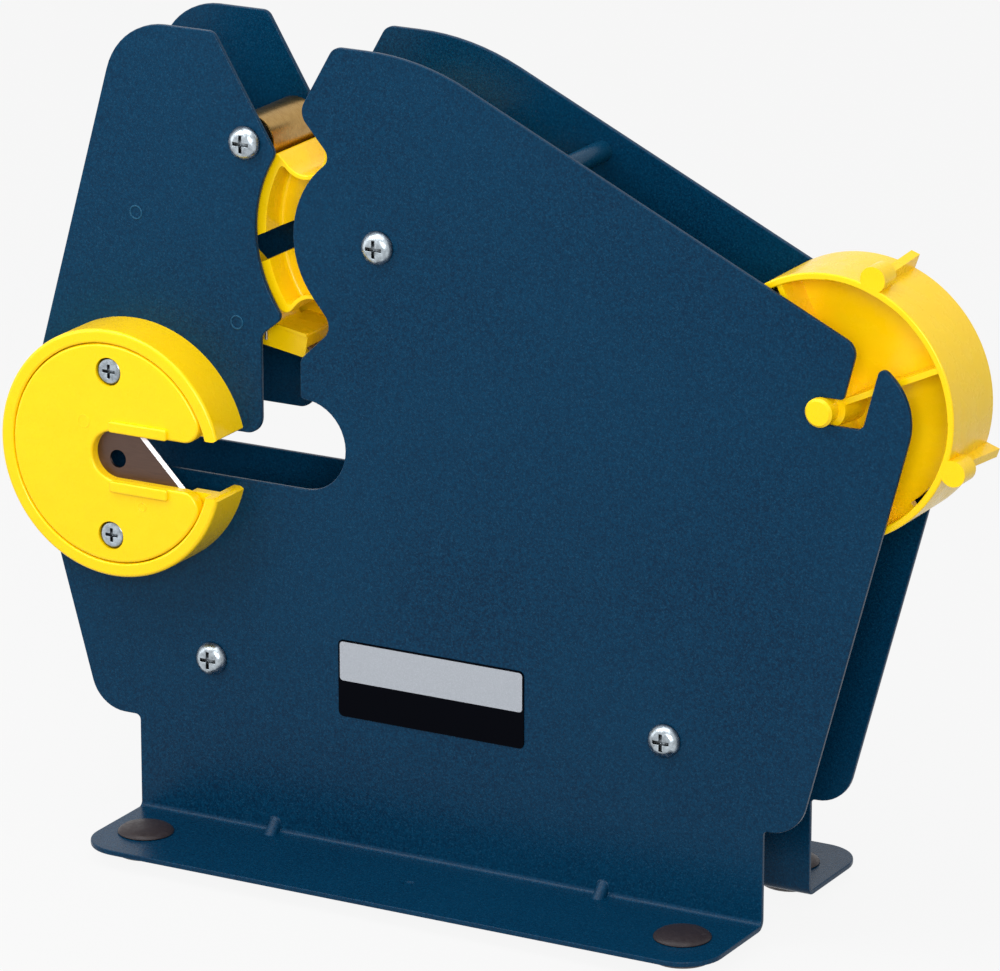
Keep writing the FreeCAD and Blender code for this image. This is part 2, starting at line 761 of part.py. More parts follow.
def hex_nut(doc, label, flats, height, bore):
    """A nut whose seat is at y = 0 of its own frame, standing towards the rear."""
    body = new_body(doc, label)
    outside = new_sketch(body, label + "_hexagon")
    corner = f"{flats} / 2 / cos(30 deg)"
    half = f"{flats} / 2"
    draw_polygon(doc, outside, [
        (corner, "0"), (f"{corner} / 2", half), (f"-{corner} / 2", half),
        (f"-{corner}", "0"), (f"-{corner} / 2", f"-{half}"), (f"{corner} / 2", f"-{half}"),
    ])
    pad(body, outside, height, backwards=True)
    hole = new_sketch(body, label + "_bore")
    draw_circle(doc, hole, "0", "0", bore)
    pocket(body, hole, height)
    return body


def screws_and_nuts(doc, s):
    front = -(s.inner_gap / 2 + s.sheet)
    stations = [(s.low_screw_left, s.low_screw_z), (s.low_screw_right, s.low_screw_z),
                (s.wheel_x, s.wheel_z), (worked_out(doc, ROLLER_X), worked_out(doc, ROLLER_Z))]
    screw = plate_screw(doc)
    nut = hex_nut(doc, "lock_nut_form", "nut_flats", "nut_height", "screw_radius + thread_clearance")
    return [
        copies(doc, "plate_screws", screw, [(x, front, z) for x, z in stations]),
        copies(doc, "lock_nuts", nut, [(x, -front, z) for x, z in stations]),
    ]


def tube(doc, label, radius, x, z):
    """A clamping tube between the plates, round a screw."""
    half = "inner_gap / 2"
    return turned(doc, label, [("tube_bore", f"-{half}"), (radius, f"-{half}"),
                               (radius, half), ("tube_bore", half)], x, "0", z)


def through_pin(doc, label, x, z):
    """A pin riveted flush with the plates' outer faces."""
    reach = "(inner_gap / 2 + sheet)"
    return turned(doc, label, [
        ("0", f"-{reach}"), ("pin_radius - 0.2", f"-{reach}"), ("pin_radius", f"-{reach} + 0.2"),
        ("pin_radius", f"{reach} - 0.2"), ("pin_radius - 0.2", reach), ("0", reach),
    ], x, "0", z)


def guide_rod(doc):
    """The rod that the tape runs over, butted on the front plate and screwed to the rear one."""
    half = "inner_gap / 2"
    bore_end = "inner_gap / 2 + sheet - rod_screw_length"
    return turned(doc, "tape_guide_rod", [
        ("0", f"-{half}"), ("guide_rod_radius", f"-{half}"), ("guide_rod_radius", half),
        ("rod_screw_radius", half), ("rod_screw_radius", bore_end), ("0", bore_end),
    ], "guide_rod_x", "0", GUIDE_ROD_Z)


def guide_rod_screw(doc):
    outer = "inner_gap / 2 + sheet"
    return turned(doc, "guide_rod_screw", [
        ("0", f"{outer} - rod_screw_length"), ("rod_screw_radius", f"{outer} - rod_screw_length"),
        ("rod_screw_radius", outer), ("rod_screw_head", outer),
        ("rod_screw_head", f"{outer} + 1.2"), ("rod_screw_head * 0.75", f"{outer} + 2.2"),
        ("0", f"{outer} + 2.4"),
    ], "guide_rod_x", "0", GUIDE_ROD_Z)


# --- pressing roller ------------------------------------------------------------------------

def brass_roller(doc):
    half = "roller_length / 2"
    inside = "roller_radius - roller_wall"
    return turned(doc, "brass_roller", [
        (inside, f"-{half}"), ("roller_radius - 0.2", f"-{half}"), ("roller_radius", f"-{half} + 0.2"),
        ("roller_radius", f"{half} - 0.2"), ("roller_radius - 0.2", half), (inside, half),
    ], ROLLER_X, "0", ROLLER_Z)


def roller_bushes(doc, s):
    """Two plastic bushes, one inside each end of the roller."""
    form = turned(doc, "roller_bush_form", [
        ("roller_tube_radius + running_clearance", "0"), ("roller_radius - roller_wall", "0"),
        ("roller_radius - roller_wall", "roller_bush_length"),
        ("roller_tube_radius + running_clearance", "roller_bush_length"),
    ])
    first = -s.roller_length / 2 + s.roller_bush_inset
    second = -first - s.roller_bush_length
    x, z = worked_out(doc, ROLLER_X), worked_out(doc, ROLLER_Z)
    places = [(x, start, z) for start in (first, second)]
    return copies(doc, "roller_bushes", form, places)


# --- star wheel -----------------------------------------------------------------------------

def star_corners(s, radius, thicker, lip, tip):
    """A disc's outline with the wheel's pockets, widened by a wall."""
    corners = []
    middle = (0, 0)
    half = s.pocket_half + thicker
    count = int(s.wheel_pockets)
    for i in range(count):
        turn = s.pocket_angle + i * 360 / count
        centre = polar(middle, s.wheel_radius - s.pocket_inset, turn)
        left = polar(centre, half, turn - 90)
        right = polar(centre, half, turn + 90)
        corners += [
            (*meet_circle(left, turn, middle, radius), lip),
            (*left, 0, centre),
            (*polar(centre, half, turn + 180), 0, centre),
            (*right, 0),
            (*meet_circle(right, turn, middle, radius), tip, middle),
        ]
    return corners


def gap_corners(s):
    """The outline of the first tape gap, from its round root to beyond the rim."""
    middle = (0, 0)
    turn = s.pocket_angle + s.gap_turn
    lean = turn + s.gap_lean
    root = polar(middle, s.wheel_radius - s.gap_inset, turn)
    near = polar(root, s.gap_half, lean - 90)
    far = polar(root, s.gap_half, lean + 90)
    past = s.wheel_radius + s.wheel_wall
    return [
        (*near, 0, root),
        (*polar(root, s.gap_half, lean + 180), 0, root),
        (*far, 0),
        (*meet_circle(far, lean, middle, past), 0),
        (*meet_circle(near, lean, middle, past), 0),
    ]


def star_wheel(doc, s):
    """The wheel that carries the bag neck: its rim and the thin walls round its pockets stand out
    from a middle web, and its tape gaps lead through all of it.
    """
    body = new_body(doc, "star_wheel", "wheel_x", "0", "wheel_z")
    disc = new_sketch(body, "wheel_outline", "XZ_Plane", "-wheel_width / 2")
    draw_outline(disc, star_corners(s, s.wheel_radius, 0, s.pocket_lip, s.tooth_tip))
    solid = pad(body, disc, "wheel_width")
    faces = [side * s.wheel_width / 2 for side in (FRONT, REAR)]
    round_level_edges(body, solid, faces, "wheel_edge_round")
    inside = s.wheel_radius - s.wheel_wall
    corner = s.wheel_root_round
    for name, side in (("wheel_front", FRONT), ("wheel_rear", REAR)):
        face = "wheel_width / 2" if side == FRONT else "-wheel_width / 2"
        hollow = new_sketch(body, name + "_hollow", "XZ_Plane", face)
        draw_outline(hollow, star_corners(s, inside, s.pocket_wall, corner, corner))
        draw_circle(doc, hollow, "0", "0", "wheel_hub")
        sunk = pocket(body, hollow, "(wheel_width - wheel_web) / 2", side == REAR)
        round_level_edges(body, sunk, [side * s.wheel_web / 2], "wheel_root_round")

    gap = new_sketch(body, "wheel_gap", "XZ_Plane", "wheel_width / 2")
    draw_outline(gap, gap_corners(s))
    cut = pocket(body, gap, "wheel_width")
    body.Document.recompute()
    polar_pattern(body, [cut], "wheel_pockets")

    bore = new_sketch(body, "wheel_bore", "XZ_Plane", "wheel_width / 2")
    draw_circle(doc, bore, "0", "0", "wheel_tube_radius + running_clearance")
    pocket(body, bore, "wheel_width")
    return body


# --- tape drum ------------------------------------------------------------------------------

def tape_drum(doc, s):
    """The drum that grips the tape's core, moulded with its two pins."""
    body = new_body(doc, "tape_drum", "drum_x", "0", "drum_z")
    body.setExpression("Placement.Rotation.Axis.y", "1")
    body.setExpression("Placement.Rotation.Axis.z", "0")
    body.setExpression("Placement.Rotation.Angle", "Sizes.drum_turn * 1 deg")
    half, web = "drum_width / 2", "drum_web / 2"
    inside = "drum_ring - drum_wall"
    collar = "inner_gap / 2 + sheet + 0.7"
    front_half = [
        ("0", "-drum_pin_reach"), ("drum_pin_head - 0.7", "-drum_pin_reach"),
        ("drum_pin_head", "-drum_pin_reach + 0.7"), ("drum_pin_head", f"-({collar})"),
        ("drum_pin", f"-({collar})"), ("drum_pin", f"-{half}"), ("drum_hub - 1", f"-{half}"),
        ("drum_hub", f"-{web}"), (inside, f"-{web}"), (inside, f"-{half}"),
        ("drum_ring", f"-{half}"),
    ]
    rear_half = [(radius, f"-({along})") for radius, along in reversed(front_half)]
    turned_drum = turn_profile(doc, body, "drum_profile", front_half + rear_half)
    faces = [side * s.drum_width / 2 for side in (FRONT, REAR)]
    round_level_edges(body, turned_drum, faces, "drum_edge_round",
                      lambda edge: wider(edge, s.drum_hub))

    rib = new_sketch(body, "drum_rib", "XZ_Plane", "-drum_width / 2 + rib_inset")
    start, end, side = s.drum_hub - s.overlap, s.drum_ring - s.drum_wall / 2, s.rib_width / 2
    rib_ends = [(start, -side), (end, -side), (end, side), (start, side)]
    draw_outline(rib, [(*turned_point(point, s.rib_turn), 0) for point in rib_ends])
    ribs = pad(body, rib, "drum_width - 2 * rib_inset")

    lug = new_sketch(body, "drum_lug", "XZ_Plane", "drum_width / 2")
    draw_circle(doc, lug, "lug_centre", "0", "lug_radius")
    lugs = pad(body, lug, "lug_length", backwards=True)

    fin = new_sketch(body, "drum_fin", "XY_Plane", "-fin_half")
    draw_polygon(doc, fin, [
        ("drum_ring - drum_wall / 2", "-drum_width / 2 + lug_length / 2"),
        ("fin_start", "-drum_width / 2 + lug_length / 2"),
        ("fin_end", half), ("drum_ring - drum_wall / 2", half),
    ])
    fins = pad(body, fin, "2 * fin_half")
    body.Document.recompute()
    polar_pattern(body, [ribs, lugs, fins], "drum_ribs")

    relief = new_sketch(body, "drum_relief", "XZ_Plane", "drum_web / 2")
    start, end = s.relief_start, s.relief_end
    edge = s.drum_ring - s.drum_wall + s.relief_undercut
    middle = (0, 0)
    draw_outline(relief, [
        (*polar(middle, s.relief_root, start), 0),
        (*polar(middle, edge, start), 0, middle),
        (*polar(middle, edge, end), 0),
        (*polar(middle, s.relief_root, end), 0, middle),
    ])
    cut = pocket(body, relief, "drum_web")
    body.Document.recompute()
    polar_pattern(body, [cut], "drum_ribs")
    return body


def turned_point(point, angle):
    return polar((0, 0), math.hypot(*point), math.degrees(math.atan2(point[1], point[0])) + angle)


# --- trim guard and blade -------------------------------------------------------------------

GUARD_SEAT = "-(inner_gap / 2 + sheet)"


def trim_guard(doc, s):
    """The round housing on the front plate: rim, floor and screw bosses, open to the right."""
    body = new_body(doc, "trim_guard", "trim_x", GUARD_SEAT, "trim_z")
    rim = new_sketch(body, "guard_disc")
    draw_circle(doc, rim, "0", "0", "guard_radius")
    disc = pad(body, rim, "guard_depth")
    round_level_edges(body, disc, [-s.guard_depth], "guard_edge_round")

    seat = new_sketch(body, "guard_cover_seat", "XZ_Plane", "guard_depth")
    draw_circle(doc, seat, "0", "0", "guard_radius - guard_wall")
    sunk = pocket(body, seat, "cover_thickness + blade_thickness")
    inside = s.guard_radius - s.guard_wall / 2
    round_level_edges(body, sunk, [-s.guard_depth], "guard_lip_round",
                      lambda edge: not wider(edge, inside))

    hollow = new_sketch(body, "guard_hollow")
    draw_circle(doc, hollow, "0", "0", "guard_radius - guard_wall + 0.8")
    for z in ("-guard_screw_offset", "guard_screw_offset"):
        draw_circle(doc, hollow, "0", z, "guard_boss")
    depth = "guard_depth - cover_thickness - blade_thickness - guard_floor"
    pocket(body, hollow, depth, backwards=True)

    jaw = new_sketch(body, "guard_opening", "XZ_Plane", "guard_depth")
    draw_outline(jaw, guard_jaw_corners(s))
    pocket(body, jaw, "guard_depth")

    holes = new_sketch(body, "guard_screw_holes", "XZ_Plane", "guard_depth")
    for z in ("-guard_screw_offset", "guard_screw_offset"):
        draw_circle(doc, holes, "0", z, "guard_screw_radius + hole_clearance")
    pocket(body, holes, "guard_depth")
    return body


def guard_jaw_corners(s):
    """The opening: a slot in the floor that narrows to the flared jaws of the rim."""
    past = s.guard_radius + s.overlap
    flare = s.guard_jaw + (past - s.guard_flare) * 1.2
    lower = [
        (s.guard_slot_end, -s.guard_slot, 4), (s.guard_step, -s.guard_slot, 0.5),
        (s.guard_step, -s.guard_jaw, 0.5), (s.guard_flare, -s.guard_jaw, 2), (past, -flare, 0),
    ]
    upper = [(x, -z, corner) for x, z, corner in reversed(lower)]
    return lower + upper


def trim_cover(doc, s):
    """The inner disc that holds the blade down, with two raised bars beside its slot."""
    outer = "guard_depth + inner_gap / 2 + sheet"
    body = new_body(doc, "trim_guard_cover", "trim_x", f"-({outer})", "trim_z")
    radius = s.guard_radius - s.guard_wall - s.cover_gap
    low, high = s.cover_slot_z - s.cover_slot, s.cover_slot_z + s.cover_slot
    upper_reach = math.sqrt(radius ** 2 - high ** 2)
    lower_reach = math.sqrt(radius ** 2 - low ** 2)
    middle = (0, 0)
    face = new_sketch(body, "cover_outline")
    draw_outline(face, [
        (s.cover_slot_end, high, s.cover_slot - 0.01), (upper_reach, high, s.cover_corner, middle),
        (0, radius, 0, middle), (-radius, 0, 0, middle), (0, -radius, 0, middle),
        (lower_reach, low, s.cover_corner), (s.cover_slot_end, low, s.cover_slot - 0.01),
    ])
    disc = pad(body, face, "cover_thickness", backwards=True)
    round_level_edges(body, disc, [0], "cover_edge_round", lambda edge: wider(edge, radius - 1))

    for name, inner, outer in (
            ("cover_upper_bar", high, high + s.cover_bar_width),
            ("cover_lower_bar", low - s.cover_bar_width, low)):
        bar = new_sketch(body, name)
        left, right = s.cover_bar_start, s.cover_bar_start + s.cover_bar_length
        corner = s.cover_bar_round + 0.2
        draw_outline(bar, [(left, inner, corner), (right, inner, corner),
                           (right, outer, corner), (left, outer, corner)])
        raised = pad(body, bar, "cover_bar_height")
        round_level_edges(body, raised, [-s.cover_bar_height], "cover_bar_round",
                          lambda edge, low=inner - 1, high=outer + 1:
                          low < edge.CenterOfMass.z < high)

    for name, z in (("cover_upper_sink", "guard_screw_offset"),
                    ("cover_lower_sink", "-guard_screw_offset")):
        hole = new_sketch(body, name + "_hole")
        draw_circle(doc, hole, "0", z, "guard_screw_radius + hole_clearance")
        pocket(body, hole, "cover_thickness")
        sink = new_sketch(body, name)
        draw_circle(doc, sink, "0", z, "guard_screw_head + 0.2")
        pocket(body, sink, "guard_screw_seat")
    return body


def trim_blade(doc, s):
    """A flat blade with a slanted, bevelled cutting edge, clamped under the cover."""
    seat = "inner_gap / 2 + sheet + guard_depth - cover_thickness - blade_thickness"
    body = new_body(doc, "trim_blade", "trim_x", f"-({seat})", "trim_z")
    top = meet((s.blade_edge_x, 0), 180 - s.blade_edge_slope, (0, s.blade_half), 0)
    foot = meet((s.blade_edge_x, 0), -s.blade_edge_slope, (0, -s.blade_half), 0)
    face = new_sketch(body, "blade_outline")
    draw_outline(face, [(s.blade_left, -s.blade_half, 1), (*foot, 0), (*top, 0),
                        (s.blade_left, s.blade_half, 1)])
    flat = pad(body, face, "blade_thickness")
    doc.recompute()
    middle = ((top[0] + foot[0]) / 2, -s.blade_thickness, 0)
    gaps = [(edge.CenterOfMass - V(*middle)).Length for edge in flat.Shape.Edges]
    bevel = body.newObject("PartDesign::Chamfer", "blade_bevel_cut")
    bevel.Base = (flat, [f"Edge{gaps.index(min(gaps)) + 1}"])
    bevel.ChamferType = "Two distances"
    bevel.setExpression("Size", bound("blade_thickness * 0.8"))
    bevel.setExpression("Size2", bound("blade_bevel"))
    hole = new_sketch(body, "blade_hole_sketch", "XZ_Plane", "blade_thickness")
    draw_circle(doc, hole, "blade_hole_x", "blade_hole_z", "blade_hole")
    pocket(body, hole, "blade_thickness")
    return body


def guard_fixings(doc, s):
    """Countersunk screws through the cover, guard and front plate, with nuts behind the plate."""
    front = s.inner_gap / 2 + s.sheet + s.guard_depth
    form = new_body(doc, "guard_screw_form")
    length = "guard_depth + sheet + guard_nut_height + 0.8"
    turn_profile(doc, form, "guard_screw_profile", [
        ("0", "0.2"), ("guard_screw_head * 0.8", "0.3"), ("guard_screw_head", "0.8"),
        ("guard_screw_head", "guard_screw_seat"), ("guard_screw_radius", "guard_screw_seat"),
        ("guard_screw_radius", length), ("0", length),
    ])
    cut_cross(doc, form, "guard_screw_cross", "-0.2", "recess_span * 0.8",
              "recess_width * 0.9", "recess_depth")
    nut = hex_nut(doc, "guard_nut_form", "guard_nut_flats", "guard_nut_height",
                  "guard_screw_radius + thread_clearance")
    heights = [s.trim_z - s.guard_screw_offset, s.trim_z + s.guard_screw_offset]
    return [
        copies(doc, "guard_screws", form, [(s.trim_x, -front, z) for z in heights]),
        copies(doc, "guard_nuts", nut, [(s.trim_x, -s.inner_gap / 2, z) for z in heights]),
    ]


# --- knife lever ----------------------------------------------------------------------------

def lever_places(s):
    """The tail's direction and its distance from the pivot to its end."""
    angle = math.degrees(math.atan2(s.stop_rise, -s.stop_run))
    return angle, math.hypot(s.stop_run, s.stop_rise) + s.tail_reach


def lever_corners(s):
    """The lever in X and Z about its pivot: a nose in the channel and a tail on the stop pin."""
    angle, reach = lever_places(s)
    low = s.pin_radius + s.stop_gap
    high = low + s.tail_width

    def tail(along, across):
        return polar(polar((0, 0), along, angle), across, angle - 90)

    slope = math.tan(math.radians(s.nose_slope))
    nose_top, nose_foot = nose_ends(s)
    return [
        (*nose_top, s.nose_round),
        (s.lever_neck, nose_top[1] + (s.nose_length - s.lever_neck) * slope, s.lever_neck_round),
        (*tail(-s.lever_hump, high), s.lever_hump_round),
        (*tail(reach, high), s.tail_round),
        (*tail(reach, low), s.tail_round),
        (*tail(s.lever_crotch, low), s.lever_crotch_round),
        (-s.lever_root - s.lever_heel, s.lever_heel_rise, s.lever_heel_round),
        (-s.lever_root - s.lever_heel_foot,
         nose_foot[1] + (nose_foot[0] + s.lever_root) * slope, s.lever_heel_round),
        (*nose_foot, s.nose_round),
    ]


def nose_ends(s):
    """The upper and lower corners of the nose's end."""
    foot = (s.nose_length - s.nose_rake, -s.nose_drop - s.nose_depth)
    return (s.nose_length, -s.nose_drop), foot


def knife_lever(doc, s):
    """The sprung lever that holds the tape knife in the neck's path. Its nose fills the gap up to
    the rear plate and carries a thin overhanging top; the spring sits before it.
    """
    body = new_body(doc, "knife_lever", LEVER_X, "0", LEVER_Z)
    face = new_sketch(body, "lever_outline", "XZ_Plane", "-lever_half")
    draw_outline(face, lever_corners(s))
    pad(body, face, "2 * lever_half")

    boss = new_sketch(body, "lever_boss_circle", "XZ_Plane", "-lever_boss_half")
    draw_circle(doc, boss, "0", "0", "lever_boss")
    pad(body, boss, "2 * lever_boss_half")

    slope = math.tan(math.radians(s.nose_slope))
    nose_top, nose_foot = nose_ends(s)
    start = s.lever_neck
    rise = (s.nose_length - start) * slope
    nose = new_sketch(body, "lever_nose", "XZ_Plane", "-lever_boss_half")
    draw_outline(nose, [
        (start, nose_top[1] + rise, 0), (start, nose_foot[1] + rise - s.nose_rake * slope, 0),
        (*nose_foot, s.nose_round), (*nose_top, 0),
    ])
    pad(body, nose, "lever_boss_half + lever_half")
    cap = new_sketch(body, "lever_cap_outline", "XZ_Plane", "-lever_boss_half")
    draw_outline(cap, [
        (start, nose_top[1] + rise, 0), (start, nose_top[1] + rise - s.lever_cap, 0),
        (nose_top[0], nose_top[1] - s.lever_cap, 0), (*nose_top, s.lever_cap * 0.8),
    ])
    pad(body, cap, "lever_boss_half + lever_cap_half")

    bore = new_sketch(body, "lever_bore", "XZ_Plane", "lever_boss_half")
    draw_circle(doc, bore, "0", "0", "pin_radius + running_clearance")
    pocket(body, bore, "2 * lever_boss_half")

    slot = new_sketch(body, "knife_slot", "XZ_Plane", "knife_half")
    draw_outline(slot, knife_section(s, 2))
    pocket(body, slot, "2 * knife_half")
    return body


def knife_section(s, past):
    """The knife's place in the nose, in X and Z about the pivot."""
    slope = math.tan(math.radians(s.nose_slope))
    end = s.nose_length + past

    def height(x):
        return -s.nose_drop - s.nose_depth + s.knife_lift + (s.nose_length - x) * slope

    start = s.knife_start
    return [(start, height(start), 0), (end, height(end), 0),
            (end, height(end) + s.knife_thickness, 0), (start, height(start) + s.knife_thickness, 0)]


def tape_knife(doc, s):
    """A thin steel strip with a toothed edge, held in the lever's nose."""
    body = new_body(doc, "tape_knife", LEVER_X, "0", LEVER_Z)
    strip = new_sketch(body, "knife_strip", "XZ_Plane", "-knife_half")
    draw_outline(strip, knife_section(s, s.knife_reach))
    pad(body, strip, "2 * knife_half")
    end = s.nose_length + s.knife_reach
    teeth = new_sketch(body, "knife_gullets", "XY_Plane", "0")
    count = int(s.knife_teeth)
    pitch = 2 * s.knife_half / count
    for i in range(count - 1):
        middle = -s.knife_half + (i + 1) * pitch
        draw_outline(teeth, [(end + 0.5, middle - pitch * 0.46, 0), (end + 0.5, middle + pitch * 0.46, 0),
                             (end - s.knife_tooth, middle, 0)])
    cut = pocket(body, teeth, "40")
    cut.Midplane = True
    return body


def lever_spring(doc, s):
    """A wire spring wound round the lever's boss, one leg along the lever's tail."""
    angle, _ = lever_places(s)
    first = -s.lever_half - s.spring_wire - 0.05
    turn = V(0, 0, 1), math.radians(angle)
    coil = Part.makeHelix(s.spring_pitch, s.spring_pitch * s.spring_turns, s.spring_coil)
    coil.rotate(V(0, 0, 0), V(1, 0, 0), 90)
    coil.translate(V(0, first, 0))
    wire = Part.Wire(coil.Edges)
    points = [wire.OrderedVertexes[0].Point, wire.OrderedVertexes[-1].Point]
    legs = []
    for point, way in ((points[0], 1), (points[1], -1)):
        outward = V(point.x, 0, point.z).normalize()
        along = V(0, 1, 0).cross(outward) * way
        legs.append(Part.makeLine(point, point + along * s.spring_leg))
    path = Part.Wire(Part.__sortEdges__(coil.Edges + legs))
    start = path.OrderedVertexes[0].Point
    heading = path.OrderedVertexes[1].Point - start
    ring = Part.Wire(Part.makeCircle(s.spring_wire, start, heading))
    spring = doc.addObject("Part::Feature", "lever_spring")
    spring.Label = "lever_spring"
    spring.Shape = path.makePipeShell([ring], True, True)
    spring.Placement.Base = V(worked_out(doc, LEVER_X), 0, worked_out(doc, LEVER_Z))
    return spring


# --- the whole --------------------------------------------------------------------------------

def build(doc):
    s = make_sizes(doc)
    pieces = [side_plate(doc, s, "front_plate", FRONT), side_plate(doc, s, "rear_plate", REAR)]
    for row, y in (("front", "-foot_row"), ("rear", "foot_row")):
        for end, x in (("left", FOOT_LEFT), ("right", FOOT_RIGHT)):
            pieces.append(rubber_foot(doc, f"foot_{row}_{end}", x, y))
    pieces += screws_and_nuts(doc, s)
    pieces += [
        tube(doc, "lower_left_spacer", "spacer_radius", "low_screw_left", "low_screw_z"),
        tube(doc, "lower_right_spacer", "spacer_radius", "low_screw_right", "low_screw_z"),
        tube(doc, "roller_axle_tube", "roller_tube_radius", ROLLER_X, ROLLER_Z),
        tube(doc, "wheel_axle_tube", "wheel_tube_radius", "wheel_x", "wheel_z"),
        guide_rod(doc),
        guide_rod_screw(doc),
        through_pin(doc, "lever_pin", LEVER_X, LEVER_Z),
        through_pin(doc, "stop_pin", STOP_X, STOP_Z),
        brass_roller(doc),
        roller_bushes(doc, s),
        star_wheel(doc, s),
        tape_drum(doc, s),
        trim_guard(doc, s),
        trim_cover(doc, s),
        trim_blade(doc, s),
        *guard_fixings(doc, s),
        knife_lever(doc, s),
        tape_knife(doc, s),
        lever_spring(doc, s),
    ]
    doc.recompute()
    return pieces


def check(doc, pieces):
    for item in doc.Objects:
        if "Invalid" in item.State or "Error" in item.State:
            raise RuntimeError(f"{item.Label} failed: {item.State}")
    for piece in pieces:
        if piece.Shape.isNull() or not piece.Shape.isValid() or piece.Shape.Volume <= 0:
            raise RuntimeError(f"{piece.Label} has no valid solid")


def main():
    doc = FreeCAD.newDocument("bag_neck_sealer")
    pieces = build(doc)
    check(doc, pieces)
    os.makedirs("parts", exist_ok=True)
    for piece in pieces:
        piece.Shape.exportStep(f"parts/{piece.Label}.step")
        solids = len(piece.Shape.Solids)
        print(f"{piece.Label:22s} {solids} solid(s) {piece.Shape.Volume / 1000:8.2f} cm3")


main()
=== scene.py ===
import math

import bmesh
import bpy
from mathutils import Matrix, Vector


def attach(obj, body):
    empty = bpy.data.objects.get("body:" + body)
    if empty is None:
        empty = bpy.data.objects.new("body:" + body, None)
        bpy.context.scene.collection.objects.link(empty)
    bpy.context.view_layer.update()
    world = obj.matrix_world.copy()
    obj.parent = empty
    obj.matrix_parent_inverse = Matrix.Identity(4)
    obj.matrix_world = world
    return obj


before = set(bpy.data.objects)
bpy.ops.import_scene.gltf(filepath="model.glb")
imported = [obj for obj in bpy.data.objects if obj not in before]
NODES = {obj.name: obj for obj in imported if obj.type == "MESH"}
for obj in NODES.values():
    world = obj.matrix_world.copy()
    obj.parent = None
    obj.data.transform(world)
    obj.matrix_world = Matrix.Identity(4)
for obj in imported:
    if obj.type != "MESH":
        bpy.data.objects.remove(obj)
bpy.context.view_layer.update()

# The looks of a bag neck sealer: textured powder coat, moulded plastic, plated screws, brass
# and rubber on the CAD pieces, with the few small pieces that the CAD model leaves out.
# Everything is in metres, in the CAD frame: X along the base, Y to the rear plate, Z up.

MM = 0.001


# --- node trees -----------------------------------------------------------------------------

FLAT_SIDE = (0.99, 0.97)        # the Y share of a normal, from a flat side to a bevel
SQUARE_EDGE = (0.1, 0.2)        # and from a square cut edge to a bevel
HOLLOW_SAMPLES = 8


class Finish:
    """A material on the Principled shader, with helpers that add nodes to its tree."""

    def __init__(self, name, color, roughness, metallic=0.0, specular=0.5):
        self.material = bpy.data.materials.new(name)
        self.material.use_nodes = True
        self.tree = self.material.node_tree
        self.shader = self.tree.nodes["Principled BSDF"]
        self.set("Base Color", (*color, 1))
        self.set("Roughness", roughness)
        self.set("Metallic", metallic)
        self.set("Specular IOR Level", specular)
        self.place = self.node("ShaderNodeTexCoord").outputs["Object"]

    def set(self, socket, value):
        self.shader.inputs[socket].default_value = value

    def node(self, kind, **settings):
        made = self.tree.nodes.new(kind)
        for name, value in settings.items():
            setattr(made, name, value)
        return made

    def link(self, source, target):
        self.tree.links.new(source, target)

    def stretched(self, scale):
        """The piece's own coordinates, scaled along each axis."""
        mapping = self.node("ShaderNodeMapping")
        mapping.inputs["Scale"].default_value = scale
        self.link(self.place, mapping.inputs["Vector"])
        return mapping.outputs["Vector"]

    def noise(self, size, detail=3.0, rough=0.5, place=None):
        """Noise whose features are about the given size in metres."""
        made = self.node("ShaderNodeTexNoise")
        made.inputs["Scale"].default_value = 1.0 / size
        made.inputs["Detail"].default_value = detail
        made.inputs["Roughness"].default_value = rough
        self.link(place or self.place, made.inputs["Vector"])
        return made.outputs["Fac"]

    def spread(self, source, low, high, to_low=0.0, to_high=1.0):
        """The source's range from low to high, stretched to another range and clamped."""
        made = self.node("ShaderNodeMapRange")
        for socket, value in (("From Min", low), ("From Max", high),
                              ("To Min", to_low), ("To Max", to_high)):
            made.inputs[socket].default_value = value
        self.link(source, made.inputs["Value"])
        return made.outputs["Result"]

    def blend(self, share, first, second):
        """A colour between two, each a colour or the output of a node."""
        made = self.node("ShaderNodeMix", data_type="RGBA")
        self.link(share, made.inputs[0])
        for socket, value in ((made.inputs[6], first), (made.inputs[7], second)):
            if isinstance(value, tuple):
                socket.default_value = (*value, 1)
            else:
                self.link(value, socket)
        return made.outputs[2]

    def product(self, first, second):
        """One number times another, where the second may be a plain value."""
        made = self.node("ShaderNodeMath", operation="MULTIPLY")
        self.link(first, made.inputs[0])
        if isinstance(second, float):
            made.inputs[1].default_value = second
        else:
            self.link(second, made.inputs[1])
        return made.outputs[0]

    def color(self, source):
        self.link(source, self.shader.inputs["Base Color"])

    def roughness(self, source):
        self.link(source, self.shader.inputs["Roughness"])

    def bump(self, height, distance, strength=1.0):
        """Relief of the given depth in metres, laid over any earlier relief."""
        made = self.node("ShaderNodeBump")
        made.inputs["Distance"].default_value = distance
        made.inputs["Strength"].default_value = strength
        self.link(height, made.inputs["Height"])
        earlier = self.shader.inputs["Normal"].links
        if earlier:
            self.link(earlier[0].from_socket, made.inputs["Normal"])
        self.link(made.outputs["Normal"], self.shader.inputs["Normal"])

    def slant(self):
        """1 on a ground bevel, and 0 on flat sides that look along Y and on square edges."""
        parts = self.node("ShaderNodeSeparateXYZ")
        self.link(self.node("ShaderNodeNewGeometry").outputs["True Normal"], parts.inputs[0])
        size = self.node("ShaderNodeMath", operation="ABSOLUTE")
        self.link(parts.outputs["Y"], size.inputs[0])
        return self.product(self.spread(size.outputs[0], *FLAT_SIDE),
                            self.spread(size.outputs[0], *SQUARE_EDGE))

    def hollows(self, reach):
        """1 on open faces and less in creases and recesses, as a mask for painted shade."""
        made = self.node("ShaderNodeAmbientOcclusion")
        made.inputs["Distance"].default_value = reach
        made.samples = HOLLOW_SAMPLES
        return made.outputs["AO"]


